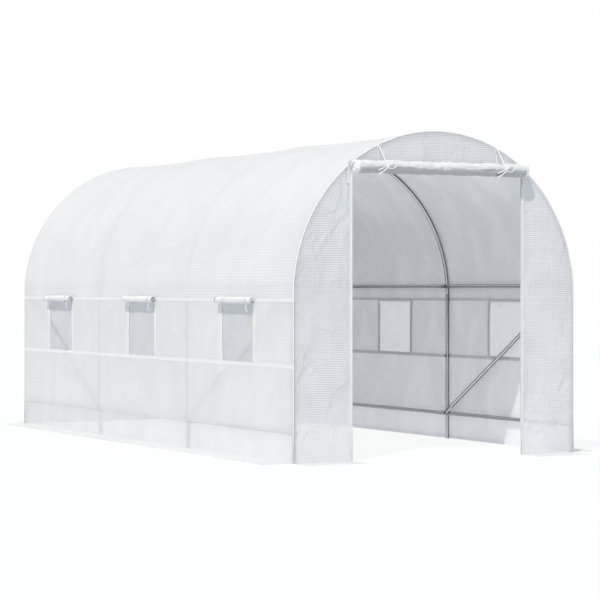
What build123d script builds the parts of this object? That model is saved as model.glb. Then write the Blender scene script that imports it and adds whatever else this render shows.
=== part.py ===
from build123d import *
import os
from math import asin, cos, degrees, radians, sin, tan

# Walk-in polytunnel greenhouse: bolted tube hoops, rails and braces under a reinforced sheet cover.
# +X is the right-hand side seen from the doorway, +Y runs from the doorway to the back, +Z is up.
# The origin lies on the ground in the middle of the tunnel. Sizes are in millimetres.

# Overall size of the covered tunnel
tunnel_length = 4500.0
tunnel_width = 2000.0
tunnel_height = 2000.0

# Sheet cover, its seams and the flaps that lie on the ground
cover_thickness = 3.0
seam_drop = 33.0
band_height = 394.0
flap_width = 200.0

# Tubes are many-sided, so that their mesh stays light
tube_sides = 8

# Hoops: straight legs that plug into bows, which meet at the ridge
hoop_count = 4
hoop_diameter = 25.0
spigot_diameter = 22.0
spigot_length = 30.0
socket_clearance = 0.4

# Rails and braces: tubes with both ends pressed flat and bolted to the inside of the hoops
rail_diameter = 25.0
base_rail_height = 177.0
shoulder_rail_rise = 55.0
tab_thickness = 2.4
tab_width = 30.0
tab_tip = 10.0
rail_tab_length = 45.0
brace_tab_length = 85.0
press_length = 45.0
press_share = 0.9

# Windows: one in each bay, with a screen behind and white tape round it
window_width = 430.0
tape_width = 25.0
side_tape_width = 35.0
tape_thickness = 1.5
screen_thickness = 2.0
screen_lap = 20.0

# Sheets rolled up over the windows and the doorway
roll_sides = 10
roll_sheet = 2.5
roll_gap = 2.5
window_roll_radius = 23.0
window_roll_core = 13.0
window_roll_lap = 42.0
door_roll_radius = 43.0
door_roll_core = 25.0
door_roll_lap = 20.0
door_tail = 15.0

# Doorway in the front end
door_width = 1200.0
lunette_depth = 230.0
zip_width = 22.0
zip_thickness = 1.5

# Ties that hold the rolled door: cords that come down over the roll and end in a bow
tie_diameter = 6.0
tie_sides = 4
tie_inset = 178.0
arc_share = 0.45

# Clearance between pieces that seat against each other
seat_gap = 0.3

# Worked out from the sizes above
cover_radius = tunnel_width / 2
inner_radius = cover_radius - cover_thickness
end_radius = inner_radius - seat_gap
spring_height = tunnel_height - cover_radius
hoop_radius = inner_radius - seat_gap - hoop_diameter / 2
front_y = -tunnel_length / 2
back_y = tunnel_length / 2
hoop_inset = cover_thickness + seat_gap + hoop_diameter / 2
hoop_spacing = (tunnel_length - 2 * hoop_inset) / (hoop_count - 1)
hoop_ys = [front_y + hoop_inset + hoop_spacing * index for index in range(hoop_count)]
window_ys = [(near + far) / 2 for near, far in zip(hoop_ys, hoop_ys[1:])]
upper_seam_height = spring_height - seam_drop
lower_seam_height = upper_seam_height - band_height
band_middle = (upper_seam_height + lower_seam_height) / 2
window_height = band_height - tape_width
socket_diameter = spigot_diameter + 2 * socket_clearance
socket_depth = spigot_length + seat_gap
shoulder_angle = degrees(asin(shoulder_rail_rise / hoop_radius))
roof_split_angle = 45
window_roll_length = window_width + 2 * window_roll_lap
door_height = tunnel_height - lunette_depth
door_roll_length = door_width + 2 * door_roll_lap
tie_x = door_width / 2 - tie_inset
pieces = {}


def oval(width, height, sides):
    """A many-sided section of this width and height across its flats, with a flat on each axis."""
    half_side = radians(360 / sides / 2)
    corners = []
    for side in range(sides):
        angle = half_side * (2 * side + 1)
        corners.append((width * cos(angle) / cos(half_side) / 2, height * sin(angle) / cos(half_side) / 2))
    with BuildSketch() as section:
        with BuildLine():
            Polyline(*corners, close=True)
        make_face()
    return section.sketch


hoop_section = oval(hoop_diameter, hoop_diameter, tube_sides)
spigot_section = oval(spigot_diameter, spigot_diameter, tube_sides)
socket_section = oval(socket_diameter, socket_diameter, tube_sides)
rail_section = oval(rail_diameter, rail_diameter, tube_sides)
pressed_section = oval(press_share * tab_width, press_share * tab_thickness, tube_sides)
tie_section = oval(tie_diameter, tie_diameter, tie_sides)

# Hoops

with BuildPart() as right_legs:
    with BuildSketch():
        with Locations(*[(hoop_radius, y) for y in hoop_ys]):
            add(hoop_section)
    extrude(amount=spring_height)
    with BuildSketch(Plane.XY.offset(spring_height)):
        with Locations(*[(hoop_radius, y) for y in hoop_ys]):
            add(spigot_section)
    extrude(amount=spigot_length)

with BuildPart() as left_legs:
    mirror(right_legs.part, about=Plane.YZ)

bow_foot = Plane(origin=(hoop_radius, 0, spring_height))
bow_top = Plane(origin=(0, 0, spring_height + hoop_radius), x_dir=(0, 1, 0), z_dir=(-1, 0, 0))

with BuildPart() as plain_bow:
    with BuildSketch(bow_foot):
        add(hoop_section)
    revolve(axis=Axis((0, 0, spring_height), (0, -1, 0)), revolution_arc=90)
    with BuildSketch(bow_foot):
        add(socket_section)
    extrude(amount=socket_depth, mode=Mode.SUBTRACT)

with BuildPart() as spigot_bow:
    add(plain_bow.part)
    with BuildSketch(bow_top):
        add(spigot_section)
    extrude(amount=spigot_length)

with BuildPart() as socket_bow:
    add(plain_bow.part)
    with BuildSketch(bow_top):
        add(socket_section)
    extrude(amount=-socket_depth, mode=Mode.SUBTRACT)
    mirror(about=Plane.YZ, mode=Mode.REPLACE)

with BuildPart() as right_bows:
    with Locations(*[(0, y, 0) for y in hoop_ys]):
        add(spigot_bow.part)

with BuildPart() as left_bows:
    with Locations(*[(0, y, 0) for y in hoop_ys]):
        add(socket_bow.part)

pieces["right_legs"] = right_legs
pieces["left_legs"] = left_legs
pieces["right_bows"] = right_bows
pieces["left_bows"] = left_bows

# Rails and braces


def bolt_radius(level):
    """How far from the arch's centre a tab lies, with this many tabs between it and the hoop."""
    stack = seat_gap + tab_thickness / 2 + level * (tab_thickness + seat_gap)
    return hoop_radius - hoop_diameter / 2 - stack


def base_bolt(y, level):
    """Where a tube is bolted to a right-hand leg, near the ground."""
    return Vector(bolt_radius(level), y, base_rail_height)


def arch_bolt(y, level, angle):
    """Where a tube is bolted to a hoop, at an angle above the spring of the arch."""
    radius = bolt_radius(level)
    return Vector(radius * cos(radians(angle)), y, spring_height + radius * sin(radians(angle)))


def outward(angle):
    """The direction from the arch's centre out to the hoop."""
    return Vector(cos(radians(angle)), 0, sin(radians(angle)))


def pressed_tube(start, start_normal, end, end_normal, tab_length):
    """A round tube between two bolts, each end pressed flat square to the hoop it is bolted to."""
    axis = (end - start).normalized()
    start_across = start_normal.cross(axis).normalized()
    end_across = end_normal.cross(axis).normalized()
    round_from = tab_length + press_length
    with BuildPart() as tube:
        for place, across, section in (
            (start + axis * tab_length, start_across, pressed_section),
            (start + axis * round_from, start_across, rail_section),
            (end - axis * round_from, end_across, rail_section),
            (end - axis * tab_length, end_across, pressed_section),
        ):
            with BuildSketch(Plane(origin=place, x_dir=across, z_dir=axis)):
                add(section)
        loft(ruled=True)
        for bolt, inward, across in ((start, axis, start_across), (end, -axis, end_across)):
            flat = inward.cross(across)
            with BuildSketch(Plane(origin=bolt - flat * (tab_thickness / 2), x_dir=inward, z_dir=flat)):
                with Locations((-tab_tip, 0)):
                    Rectangle(tab_tip + tab_length, tab_width, align=(Align.MIN, Align.CENTER))
                chamfer(vertices().group_by(Axis.X)[0], tab_tip)
            extrude(amount=tab_thickness)
    return tube.part


for bay, (near_y, far_y) in enumerate(zip(hoop_ys, hoop_ys[1:]), start=1):
    level = (bay + 1) % 2
    base_rail = pressed_tube(
        base_bolt(near_y, level), outward(0), base_bolt(far_y, level), outward(0), rail_tab_length
    )
    with BuildPart() as base_rails:
        add(base_rail)
        mirror(base_rail, about=Plane.YZ)
    pieces[f"bay_{bay}_base_rails"] = base_rails

    shoulder_rail = pressed_tube(
        arch_bolt(near_y, level, shoulder_angle),
        outward(shoulder_angle),
        arch_bolt(far_y, level, shoulder_angle),
        outward(shoulder_angle),
        rail_tab_length,
    )
    with BuildPart() as shoulder_rails:
        add(shoulder_rail)
        mirror(shoulder_rail, about=Plane.YZ)
    pieces[f"bay_{bay}_shoulder_rails"] = shoulder_rails

    tube = pressed_tube(
        arch_bolt(near_y, level, 90), outward(90), arch_bolt(far_y, level, 90), outward(90), rail_tab_length
    )
    with BuildPart() as ridge_rail:
        add(tube)
    pieces[f"bay_{bay}_ridge_rail"] = ridge_rail

brace_level = 2
for end, end_y, next_y in (("front", hoop_ys[0], hoop_ys[1]), ("back", hoop_ys[-1], hoop_ys[-2])):
    brace = pressed_tube(
        arch_bolt(end_y, brace_level, shoulder_angle),
        outward(shoulder_angle),
        base_bolt(next_y, brace_level),
        outward(0),
        brace_tab_length,
    )
    with BuildPart() as braces:
        add(brace)
        mirror(brace, about=Plane.YZ)
    pieces[f"{end}_braces"] = braces

# Roof sheet, in strips that meet edge to edge


def arch_strip(low_angle, high_angle):
    """The cover's section between two angles of the arch."""
    with BuildSketch() as strip:
        with BuildLine():
            outer = CenterArc((0, spring_height), cover_radius, low_angle, high_angle - low_angle)
            inner = CenterArc((0, spring_height), inner_radius, low_angle, high_angle - low_angle)
            Line(outer @ 0, inner @ 0)
            Line(outer @ 1, inner @ 1)
        make_face()
    return strip.sketch


lower_strip = arch_strip(0, roof_split_angle)
upper_strip = arch_strip(roof_split_angle, 90)

with BuildPart() as right_roof_lower:
    with BuildSketch(Plane.XZ):
        add(lower_strip)
        with Locations((cover_radius, upper_seam_height)):
            Rectangle(cover_thickness, spring_height - upper_seam_height, align=(Align.MAX, Align.MIN))
    extrude(amount=tunnel_length / 2, both=True)

with BuildPart() as right_roof_upper:
    with BuildSketch(Plane.XZ):
        add(upper_strip)
    extrude(amount=tunnel_length / 2, both=True)

# Side walls: a plain lower wall, then a band with the windows cut through it

with BuildPart() as right_lower_wall:
    with BuildSketch(Plane.YZ.offset(cover_radius)):
        Rectangle(tunnel_length, lower_seam_height, align=(Align.CENTER, Align.MIN))
    extrude(amount=-cover_thickness)

with BuildPart() as right_window_band:
    with BuildSketch(Plane.YZ.offset(cover_radius)):
        with Locations((0, band_middle)):
            Rectangle(tunnel_length, band_height)
        with Locations(*[(y, band_middle) for y in window_ys]):
            Rectangle(window_width, window_height, mode=Mode.SUBTRACT)
    extrude(amount=-cover_thickness)

with BuildPart() as right_window_screens:
    with BuildSketch(Plane.YZ.offset(inner_radius)):
        with Locations(*[(y, band_middle) for y in window_ys]):
            Rectangle(window_width + 2 * screen_lap, band_height)
    extrude(amount=-screen_thickness)

with BuildPart() as right_window_tapes:
    with BuildSketch(Plane.YZ.offset(cover_radius)):
        with Locations((0, lower_seam_height), (0, upper_seam_height)):
            Rectangle(tunnel_length, tape_width)
        for y in window_ys:
            with Locations((y, band_middle)):
                with GridLocations(window_width + side_tape_width, 0, 2, 1):
                    Rectangle(side_tape_width, band_height)
    extrude(amount=tape_thickness)

# Rolled-up sheets


def rolled_sheet(roll_radius, core_radius, tail_length):
    """The section of a sheet wound on itself, whose last wrap rises as a straight tail on the +X side."""
    step_in = (roll_sheet + roll_gap) / roll_sides
    outer = []
    inner = []
    for step in range(int((roll_radius - core_radius) / step_in)):
        angle = radians(-360 / roll_sides * step)
        outside = roll_radius - step_in * step
        inside = outside - roll_sheet
        outer.append((outside * cos(angle), outside * sin(angle)))
        inner.append((inside * cos(angle), inside * sin(angle)))
    tail = [(roll_radius - roll_sheet, tail_length), (roll_radius, tail_length)]
    with BuildSketch() as section:
        with BuildLine():
            Polyline(*outer, *reversed(inner), *tail, close=True)
        make_face()
    return section.sketch


window_roll_x = cover_radius + tape_thickness + window_roll_radius
window_roll_section = rolled_sheet(window_roll_radius, window_roll_core, tape_width / 2)
door_roll_section = rolled_sheet(door_roll_radius, door_roll_core, door_tail)

with BuildPart() as right_window_rolls:
    for y in window_ys:
        roll_centre = (window_roll_x, y, upper_seam_height)
        with BuildSketch(Plane(origin=roll_centre, x_dir=(-1, 0, 0), z_dir=(0, 1, 0))):
            add(window_roll_section)
    extrude(amount=window_roll_length / 2, both=True)

for name, piece in (
    ("roof_lower", right_roof_lower),
    ("roof_upper", right_roof_upper),
    ("lower_wall", right_lower_wall),
    ("window_band", right_window_band),
    ("window_screens", right_window_screens),
    ("window_tapes", right_window_tapes),
    ("window_rolls", right_window_rolls),
):
    with BuildPart() as left_piece:
        mirror(piece.part, about=Plane.YZ)
    pieces[f"right_{name}"] = piece
    pieces[f"left_{name}"] = left_piece

# Front end with its doorway, and the closed back end

front_plane = Plane.XZ.offset(-front_y)
back_plane = Plane.XZ.offset(-back_y)


with BuildSketch() as end_wall:
    with BuildLine():
        Polyline((-end_radius, spring_height), (-end_radius, 0), (end_radius, 0), (end_radius, spring_height))
        CenterArc((0, spring_height), end_radius, 0, 180)
    make_face()

with BuildPart() as front_right_panel:
    with BuildSketch(front_plane):
        add(end_wall.sketch)
        with Locations((door_width / 2, 0)):
            Rectangle(tunnel_width, tunnel_height, align=(Align.MIN, Align.MIN), mode=Mode.INTERSECT)
    extrude(amount=-cover_thickness)

with BuildPart() as front_left_panel:
    mirror(front_right_panel.part, about=Plane.YZ)

with BuildPart() as front_lunette:
    with BuildSketch(front_plane):
        add(end_wall.sketch)
        with Locations((0, door_height)):
            Rectangle(door_width, tunnel_height, align=(Align.CENTER, Align.MIN), mode=Mode.INTERSECT)
    extrude(amount=-cover_thickness)

with BuildPart() as back_panel:
    with BuildSketch(back_plane):
        add(end_wall.sketch)
    extrude(amount=cover_thickness)

with BuildPart() as door_roll:
    roll_centre = (0, front_y - door_roll_radius, door_height)
    with BuildSketch(Plane(origin=roll_centre, x_dir=(0, 1, 0), z_dir=(1, 0, 0))):
        add(door_roll_section)
    extrude(amount=door_roll_length / 2, both=True)

zip_height = door_height - door_roll_radius - cover_thickness

with BuildPart() as door_zips:
    with BuildSketch(front_plane):
        with Locations((0, cover_thickness + zip_height / 2)):
            with GridLocations(door_width + zip_width, 0, 2, 1):
                Rectangle(zip_width, zip_height)
    extrude(amount=zip_thickness)

pieces["front_right_panel"] = front_right_panel
pieces["front_left_panel"] = front_left_panel
pieces["front_lunette"] = front_lunette
pieces["back_panel"] = back_panel
pieces["door_roll"] = door_roll
pieces["door_zips"] = door_zips

# Ties of the door: the points of the cord's route are measured from the roll's axis at each tie

tie_route = [
    (0, 39.6, 27),
    (-9, 39.6, 133),
    (-8, 27.5, 135),
    (4, -44, 24),
    (12, -52, -8),
    (39, -51, -14),
    (70, -48, -4),
    (74, -44, 22),
    (46, -46, 30),
    (2, -61, 0),
    (-49, -51, -22),
]

# The largest arc at each corner of the route that its two runs leave room for
tie_radii = []
for before, here, after in zip(tie_route, tie_route[1:], tie_route[2:]):
    came = Vector(here) - Vector(before)
    goes = Vector(after) - Vector(here)
    half_turn = radians(came.get_angle(goes)) / 2
    tie_radii.append(arc_share * min(came.length, goes.length) / tan(half_turn))
print("tie radii", [round(radius, 1) for radius in tie_radii])

for side, place_x in (("left", -tie_x), ("right", tie_x)):
    with BuildPart() as tie:
        with BuildLine(Plane(origin=(place_x, front_y - door_roll_radius, door_height))) as tie_line:
            FilletPolyline(*tie_route, radius=tie_radii)
        with BuildSketch(Plane(origin=tie_line.line @ 0, z_dir=tie_line.line % 0)):
            add(tie_section)
        sweep()
    pieces[f"{side}_tie_cord"] = tie

# Ground flaps

with BuildPart() as right_ground_flap:
    with BuildSketch():
        with Locations((cover_radius, 0)):
            Rectangle(flap_width, tunnel_length, align=(Align.MIN, Align.CENTER))
    extrude(amount=cover_thickness)

with BuildPart() as left_ground_flap:
    mirror(right_ground_flap.part, about=Plane.YZ)

with BuildPart() as front_ground_flaps:
    with BuildSketch():
        front_flap_length = cover_radius - door_width / 2
        with Locations((0, front_y - flap_width / 2)):
            with GridLocations(door_width + front_flap_length, 0, 2, 1):
                Rectangle(front_flap_length, flap_width)
    extrude(amount=cover_thickness)

with BuildPart() as back_ground_flap:
    with BuildSketch():
        with Locations((0, back_y)):
            Rectangle(tunnel_width, flap_width, align=(Align.CENTER, Align.MIN))
    extrude(amount=cover_thickness)

pieces["right_ground_flap"] = right_ground_flap
pieces["left_ground_flap"] = left_ground_flap
pieces["front_ground_flaps"] = front_ground_flaps
pieces["back_ground_flap"] = back_ground_flap

os.makedirs("parts", exist_ok=True)
for name, piece in pieces.items():
    piece.part.label = name
    export_step(piece.part, f"parts/{name}.step")
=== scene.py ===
import math

import bpy
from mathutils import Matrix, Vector, noise


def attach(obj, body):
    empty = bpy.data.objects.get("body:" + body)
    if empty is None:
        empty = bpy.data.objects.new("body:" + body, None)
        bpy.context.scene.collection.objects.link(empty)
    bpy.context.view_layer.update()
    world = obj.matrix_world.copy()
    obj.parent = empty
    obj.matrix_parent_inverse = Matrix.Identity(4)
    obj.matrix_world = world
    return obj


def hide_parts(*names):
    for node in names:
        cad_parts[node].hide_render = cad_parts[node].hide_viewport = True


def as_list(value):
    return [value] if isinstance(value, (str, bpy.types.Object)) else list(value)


# The polytunnel's looks, in metres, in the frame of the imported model:
# +X to the right seen from the doorway, +Y from the doorway to the back, +Z up.

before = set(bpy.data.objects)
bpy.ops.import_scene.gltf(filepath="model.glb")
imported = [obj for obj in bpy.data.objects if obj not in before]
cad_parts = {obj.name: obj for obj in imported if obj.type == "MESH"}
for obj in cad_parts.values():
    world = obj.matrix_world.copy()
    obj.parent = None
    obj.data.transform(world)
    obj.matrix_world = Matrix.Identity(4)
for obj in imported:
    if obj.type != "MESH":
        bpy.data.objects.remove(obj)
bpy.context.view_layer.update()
scene = bpy.context.scene

# Sizes that the looks share with the part's source
COVER_RADIUS = 1.0
SPRING = 1.0
FRONT = -2.25
BACK = 2.25
HOOP_RADIUS = 0.9842
HOOP_TUBE = 0.0125
HOOP_INSIDE = HOOP_RADIUS - HOOP_TUBE
HOOP_YS = [-2.2342, -0.744733, 0.744733, 2.2342]
WINDOW_YS = [(near + far) / 2 for near, far in zip(HOOP_YS, HOOP_YS[1:])]
LOWER_SEAM = 0.573
UPPER_SEAM = 0.967
BAND_MIDDLE = 0.77
WINDOW_WIDTH = 0.43
WINDOW_HEIGHT = 0.369
WINDOW_ROLL = 0.509
SCREEN_LAP = 0.02
TAPE = 0.025
SIDE_TAPE = 0.035
DOOR_HALF = 0.6
DOOR_TOP = 1.77
DOOR_ROLL = 0.043
DOOR_SHEET = 1.235
ZIP_WIDTH = 0.022
TIE_X = 0.422
TIE_DIAMETER = 0.006
FLAP = 0.2
BASE_RAIL = 0.177
RAIL = 0.025
TAB = 0.0024
TAB_WIDTH = 0.03
TAB_TIP = 0.010
TAB_STACK = 0.0027
RAIL_TAB = 0.045
BRACE_TAB = 0.085
PRESS = 0.045
SEAT_GAP = 0.0003
SHOULDER = math.asin(0.055 / HOOP_RADIUS)
RIDGE = math.pi / 2
SIDES = ((1, "right"), (-1, "left"))

# Sizes of the looks alone: lines that the sheets lie on, the grid and the fineness of the meshes
SHEET_LINE = 0.9994
END_LINE = 0.9967
PIPING_LINE = 0.9985
COVER_ENDS = (FRONT + 0.0004, BACK - 0.0004)
TAPE_OUT = 0.0012
GROUND_GAP = 0.0015
GRID_PITCH = 0.0135
WIDE_PITCH = 0.0185
STEP = 0.02
ROOF_STEP = 0.022
FLAP_STEP = 0.03
TUBE_SIDES = 20


def link(obj):
    scene.collection.objects.link(obj)
    return obj


# Camera at the photograph's angle
camera_data = bpy.data.cameras.new("camera")
camera_data.sensor_width = 36.0
camera_data.lens = 132.84
camera_data.clip_end = 200.0
camera = link(bpy.data.objects.new("camera", camera_data))
camera.location = (-7.0302, -13.8604, 1.033)
camera.rotation_euler = (math.radians(90 - 0.277), 0, math.radians(-27.62))
scene.camera = camera

# Shader helpers


def new_material(name):
    material = bpy.data.materials.new(name)
    material.use_nodes = True
    material.node_tree.nodes.clear()
    return material, material.node_tree


def fill(tree, socket, value):
    """Sets a socket to a number or colour, or joins it to another socket or a node's first output."""
    if isinstance(value, bpy.types.Node):
        value = value.outputs[0]
    if isinstance(value, bpy.types.NodeSocket):
        tree.links.new(value, socket)
    else:
        socket.default_value = (*value, 1.0) if socket.type == "RGBA" else value


def put(tree, kind, **values):
    """A node, with its settings (set_), numbered sockets (in_) and named sockets filled."""
    node = tree.nodes.new(kind)
    for key, value in values.items():
        if key.startswith("set_"):
            setattr(node, key[4:], value)
        elif key.startswith("in_"):
            fill(tree, node.inputs[int(key[3:])], value)
        else:
            fill(tree, node.inputs[key.replace("_", " ")], value)
    return node


def calc(tree, operation, *values):
    node = put(tree, "ShaderNodeMath", set_operation=operation)
    for socket, value in zip(node.inputs, values):
        fill(tree, socket, value)
    return node


def ramp(tree, value, low, high, to_low, to_high):
    """A value moved smoothly from one range to another, held at both ends."""
    node = put(tree, "ShaderNodeMapRange", in_0=value, in_1=low, in_2=high, in_3=to_low, in_4=to_high)
    node.interpolation_type = "SMOOTHSTEP"
    return node


def mix_colour(tree, share, a, b, mode="MIX"):
    node = put(tree, "ShaderNodeMix", set_data_type="RGBA", set_blend_type=mode, in_0=share, in_6=a, in_7=b)
    return node.outputs[2]


def darken(tree, colour, level):
    """A colour multiplied by a grey level."""
    grey = put(tree, "ShaderNodeCombineColor", Red=level, Green=level, Blue=level)
    return mix_colour(tree, 1.0, colour, grey, "MULTIPLY")


def blend(tree, share, a, b):
    """A share of shader b over shader a."""
    return put(tree, "ShaderNodeMixShader", in_0=share, in_1=a, in_2=b)


def noisy(tree, vector, scale, detail, **more):
    return put(tree, "ShaderNodeTexNoise", Vector=vector, Scale=scale, Detail=detail, **more)


def matt(tree, colour, roughness, bump):
    return put(tree, "ShaderNodeBsdfPrincipled", Base_Color=colour, Roughness=roughness, Normal=bump)


def surface(tree, shader):
    put(tree, "ShaderNodeOutputMaterial", Surface=shader)


def threads(tree, coordinate, pitch, width_share):
    """1 on the threads that repeat along a coordinate, 0 between them."""
    along = calc(tree, "DIVIDE", coordinate, pitch)
    off_centre = calc(tree, "PINGPONG", along, 0.5)
    return ramp(tree, off_centre, width_share * 0.5, width_share * 0.5 + 0.12, 1.0, 0.0)


def flat_coordinates(tree):
    uv = put(tree, "ShaderNodeUVMap", set_uv_map="flat")
    parts = put(tree, "ShaderNodeSeparateXYZ", Vector=uv)
    return uv, parts.outputs[0], parts.outputs[1]


def sheet_material(
    name,
    thread,
    cell,
    pass_share,
    wrinkled,
    clear=(0.0, 0.0),
    folding=(1.0, 1.0),
    level_threads="v",
    pitch=GRID_PITCH,
    upright_pitch=None,
    strip=None,
    deep=1.0,
    band=None,
    lift=None,
):
    """Reinforced translucent sheet: a grid of threads between two films.

    pass_share is the share of light that glows through.
    clear is the share that is seen straight through a cell and through a thread.
    folding is how close folds lie along u and v, and wrinkled how far they stand out.
    strip is a plain strip at the foot, or on the rolled door painted shade on the lower half of the roll: its
    height, its colour and how much clearer it is.
    deep is how much stronger the painted fold shade and light in the glow are on the right half than on the
    left.
    band is painted light and shade in the glow of the right wall: the seam's height, and the gain below, above
    and in the strip.
    lift is two heights and how much paler the sheet is painted at the lower one, as painted light.
    """
    material, tree = new_material(name)
    uv, u, v = flat_coordinates(tree)
    place = put(tree, "ShaderNodeNewGeometry")
    where = put(tree, "ShaderNodeSeparateXYZ", Vector=place.outputs["Position"])
    across, height = where.outputs[0], where.outputs[2]

    # Grid, faint across and strong along the level threads
    level, upright = (u, v) if level_threads == "u" else (v, u)
    faint = calc(tree, "MULTIPLY", threads(tree, upright, upright_pitch or pitch, 0.28), 0.6)
    grid = calc(tree, "MAXIMUM", threads(tree, level, pitch, 0.36), faint)
    see = ramp(tree, grid, 0.0, 1.0, *clear)
    cells = mix_colour(tree, grid, cell, thread)

    # Uneven tone, and the strip: a plain strip at the foot, or painted shade on the lower half of the rolled
    # door
    clouds = noisy(tree, uv, 2.3, 4.0, Roughness=0.55)
    crumple = noisy(tree, uv, 26.0, 5.0, Roughness=0.62)
    cloud = ramp(tree, clouds, 0.3, 0.7, 0.955, 1.0)
    # Painted light: paler towards the lower of lift's two heights
    if lift:
        cloud = calc(tree, "MULTIPLY", cloud, ramp(tree, height, *lift, 1.0))
    if strip:
        top, strip_colour, strip_clear = strip
        uneven = calc(tree, "ADD", clouds, calc(tree, "MULTIPLY", crumple, 0.6))
        ragged = calc(tree, "MULTIPLY", calc(tree, "SUBTRACT", uneven, 0.8), 0.03)
        plain = ramp(tree, calc(tree, "ADD", height, ragged), top - 0.004, top + 0.006, 1.0, 0.0)
        cells = mix_colour(tree, plain, cells, strip_colour)
        see = calc(tree, "ADD", see, calc(tree, "MULTIPLY", plain, strip_clear))

    # Folds, threads and crumples that stand out from the sheet
    run = put(tree, "ShaderNodeMapping", Vector=uv, Scale=(*folding, 1.0))
    swell = noisy(tree, run, 2.6, 3.0, Distortion=0.5)
    crease = calc(tree, "ABSOLUTE", calc(tree, "SUBTRACT", swell, 0.5))
    fold = calc(tree, "ADD", calc(tree, "MULTIPLY", swell, 2.0), ramp(tree, crease, 0.0, 0.04, 0.12, 0.0))
    wrinkle = put(tree, "ShaderNodeBump", Strength=wrinkled, Distance=0.012, Height=fold)
    relief = calc(tree, "ADD", calc(tree, "MULTIPLY", grid, 0.15), calc(tree, "MULTIPLY", crumple, 1.5))
    bump = put(tree, "ShaderNodeBump", Strength=0.25, Distance=0.0014, Height=relief, Normal=wrinkle)
    body = matt(tree, darken(tree, cells, cloud), ramp(tree, crumple, 0.3, 0.7, 0.36, 0.52), bump)
    body.inputs["Specular IOR Level"].default_value = 0.35

    # Light that glows through, with painted shade in the folds and creases and painted light on the swells,
    # stronger on the right half
    painted_fold_light = ramp(tree, swell, 0.3, 0.7, -0.07, 0.04)
    painted_glow_shade = calc(tree, "SUBTRACT", painted_fold_light, ramp(tree, crease, 0.0, 0.025, 0.05, 0.0))
    painted_glow_shade = calc(tree, "MULTIPLY", painted_glow_shade, ramp(tree, across, -0.2, 0.2, 1.0, deep))
    # Painted light below the seam and in the strip, and painted shade above the seam, on the right half only
    if band:
        seam, below, above, foot = band
        sewn = ramp(tree, height, seam - 0.004, seam + 0.004, below, above)
        sewn = calc(tree, "ADD", sewn, calc(tree, "MULTIPLY", plain, foot))
        painted_glow_shade = calc(tree, "ADD", painted_glow_shade, calc(tree, "MULTIPLY", sewn, ramp(tree, across, -0.2, 0.2, 0.0, 1.0)))
    cool = (0.955 * cell[0], 0.98 * cell[1], 1.015 * cell[2])
    lit = darken(tree, cool, calc(tree, "ADD", painted_glow_shade, 1.0))
    glow = put(tree, "ShaderNodeBsdfTranslucent", Color=lit, Normal=bump)
    both = blend(tree, pass_share, body, glow)
    through = put(tree, "ShaderNodeBsdfTransparent", Color=(0.97, 0.98, 1.0))
    surface(tree, blend(tree, see, both, through))
    return material


def net_material(name):
    """Fine grey insect net."""
    material, tree = new_material(name)
    uv, u, v = flat_coordinates(tree)
    pitch, width_share = 0.0024, 0.3
    mesh = calc(tree, "MAXIMUM", *[threads(tree, way, pitch, width_share) for way in (u, v)])
    patches = noisy(tree, uv, 9.0, 3.0)
    tone = ramp(tree, patches, 0.3, 0.7, 0.0, 1.0)
    colour = mix_colour(tree, tone, (0.83, 0.838, 0.86), (0.88, 0.888, 0.905))
    bump = put(tree, "ShaderNodeBump", Strength=0.4, Distance=0.0004, Height=mesh)
    body = matt(tree, colour, 0.55, bump)
    glow = put(tree, "ShaderNodeBsdfTranslucent", Color=colour)
    both = blend(tree, 0.18, body, glow)
    clear = put(tree, "ShaderNodeBsdfTransparent", Color=(0.895, 0.92, 0.985))
    see = ramp(tree, mesh, 0.0, 1.0, 0.52, 0.31)
    surface(tree, blend(tree, see, both, clear))
    return material


def tape_material(name, width, dull, bright):
    """Woven white tape with a line of stitches along each edge."""
    material, tree = new_material(name)
    uv, u, v = flat_coordinates(tree)
    ribs = put(tree, "ShaderNodeTexWave", Vector=uv, Scale=220.0, Distortion=0.4)
    edge = calc(tree, "ABSOLUTE", calc(tree, "SUBTRACT", calc(tree, "ABSOLUTE", v), width * 0.36))
    line = ramp(tree, edge, 0.0006, 0.0013, 1.0, 0.0)
    stitch = calc(tree, "MULTIPLY", line, threads(tree, u, 0.0045, 0.6))
    patches = noisy(tree, uv, 14.0, 4.0)
    tone = ramp(tree, patches, 0.25, 0.75, 0.0, 1.0)
    cloth = mix_colour(tree, tone, dull, bright)
    colour = mix_colour(tree, stitch, cloth, (0.84, 0.85, 0.87))
    height = calc(tree, "SUBTRACT", calc(tree, "MULTIPLY", ribs.outputs[1], 0.3), stitch)
    bump = put(tree, "ShaderNodeBump", Strength=0.45, Distance=0.0006, Height=height)
    body = matt(tree, colour, 0.6, bump)
    glow = put(tree, "ShaderNodeBsdfTranslucent", Color=colour)
    surface(tree, blend(tree, 0.06, body, glow))
    return material


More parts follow.
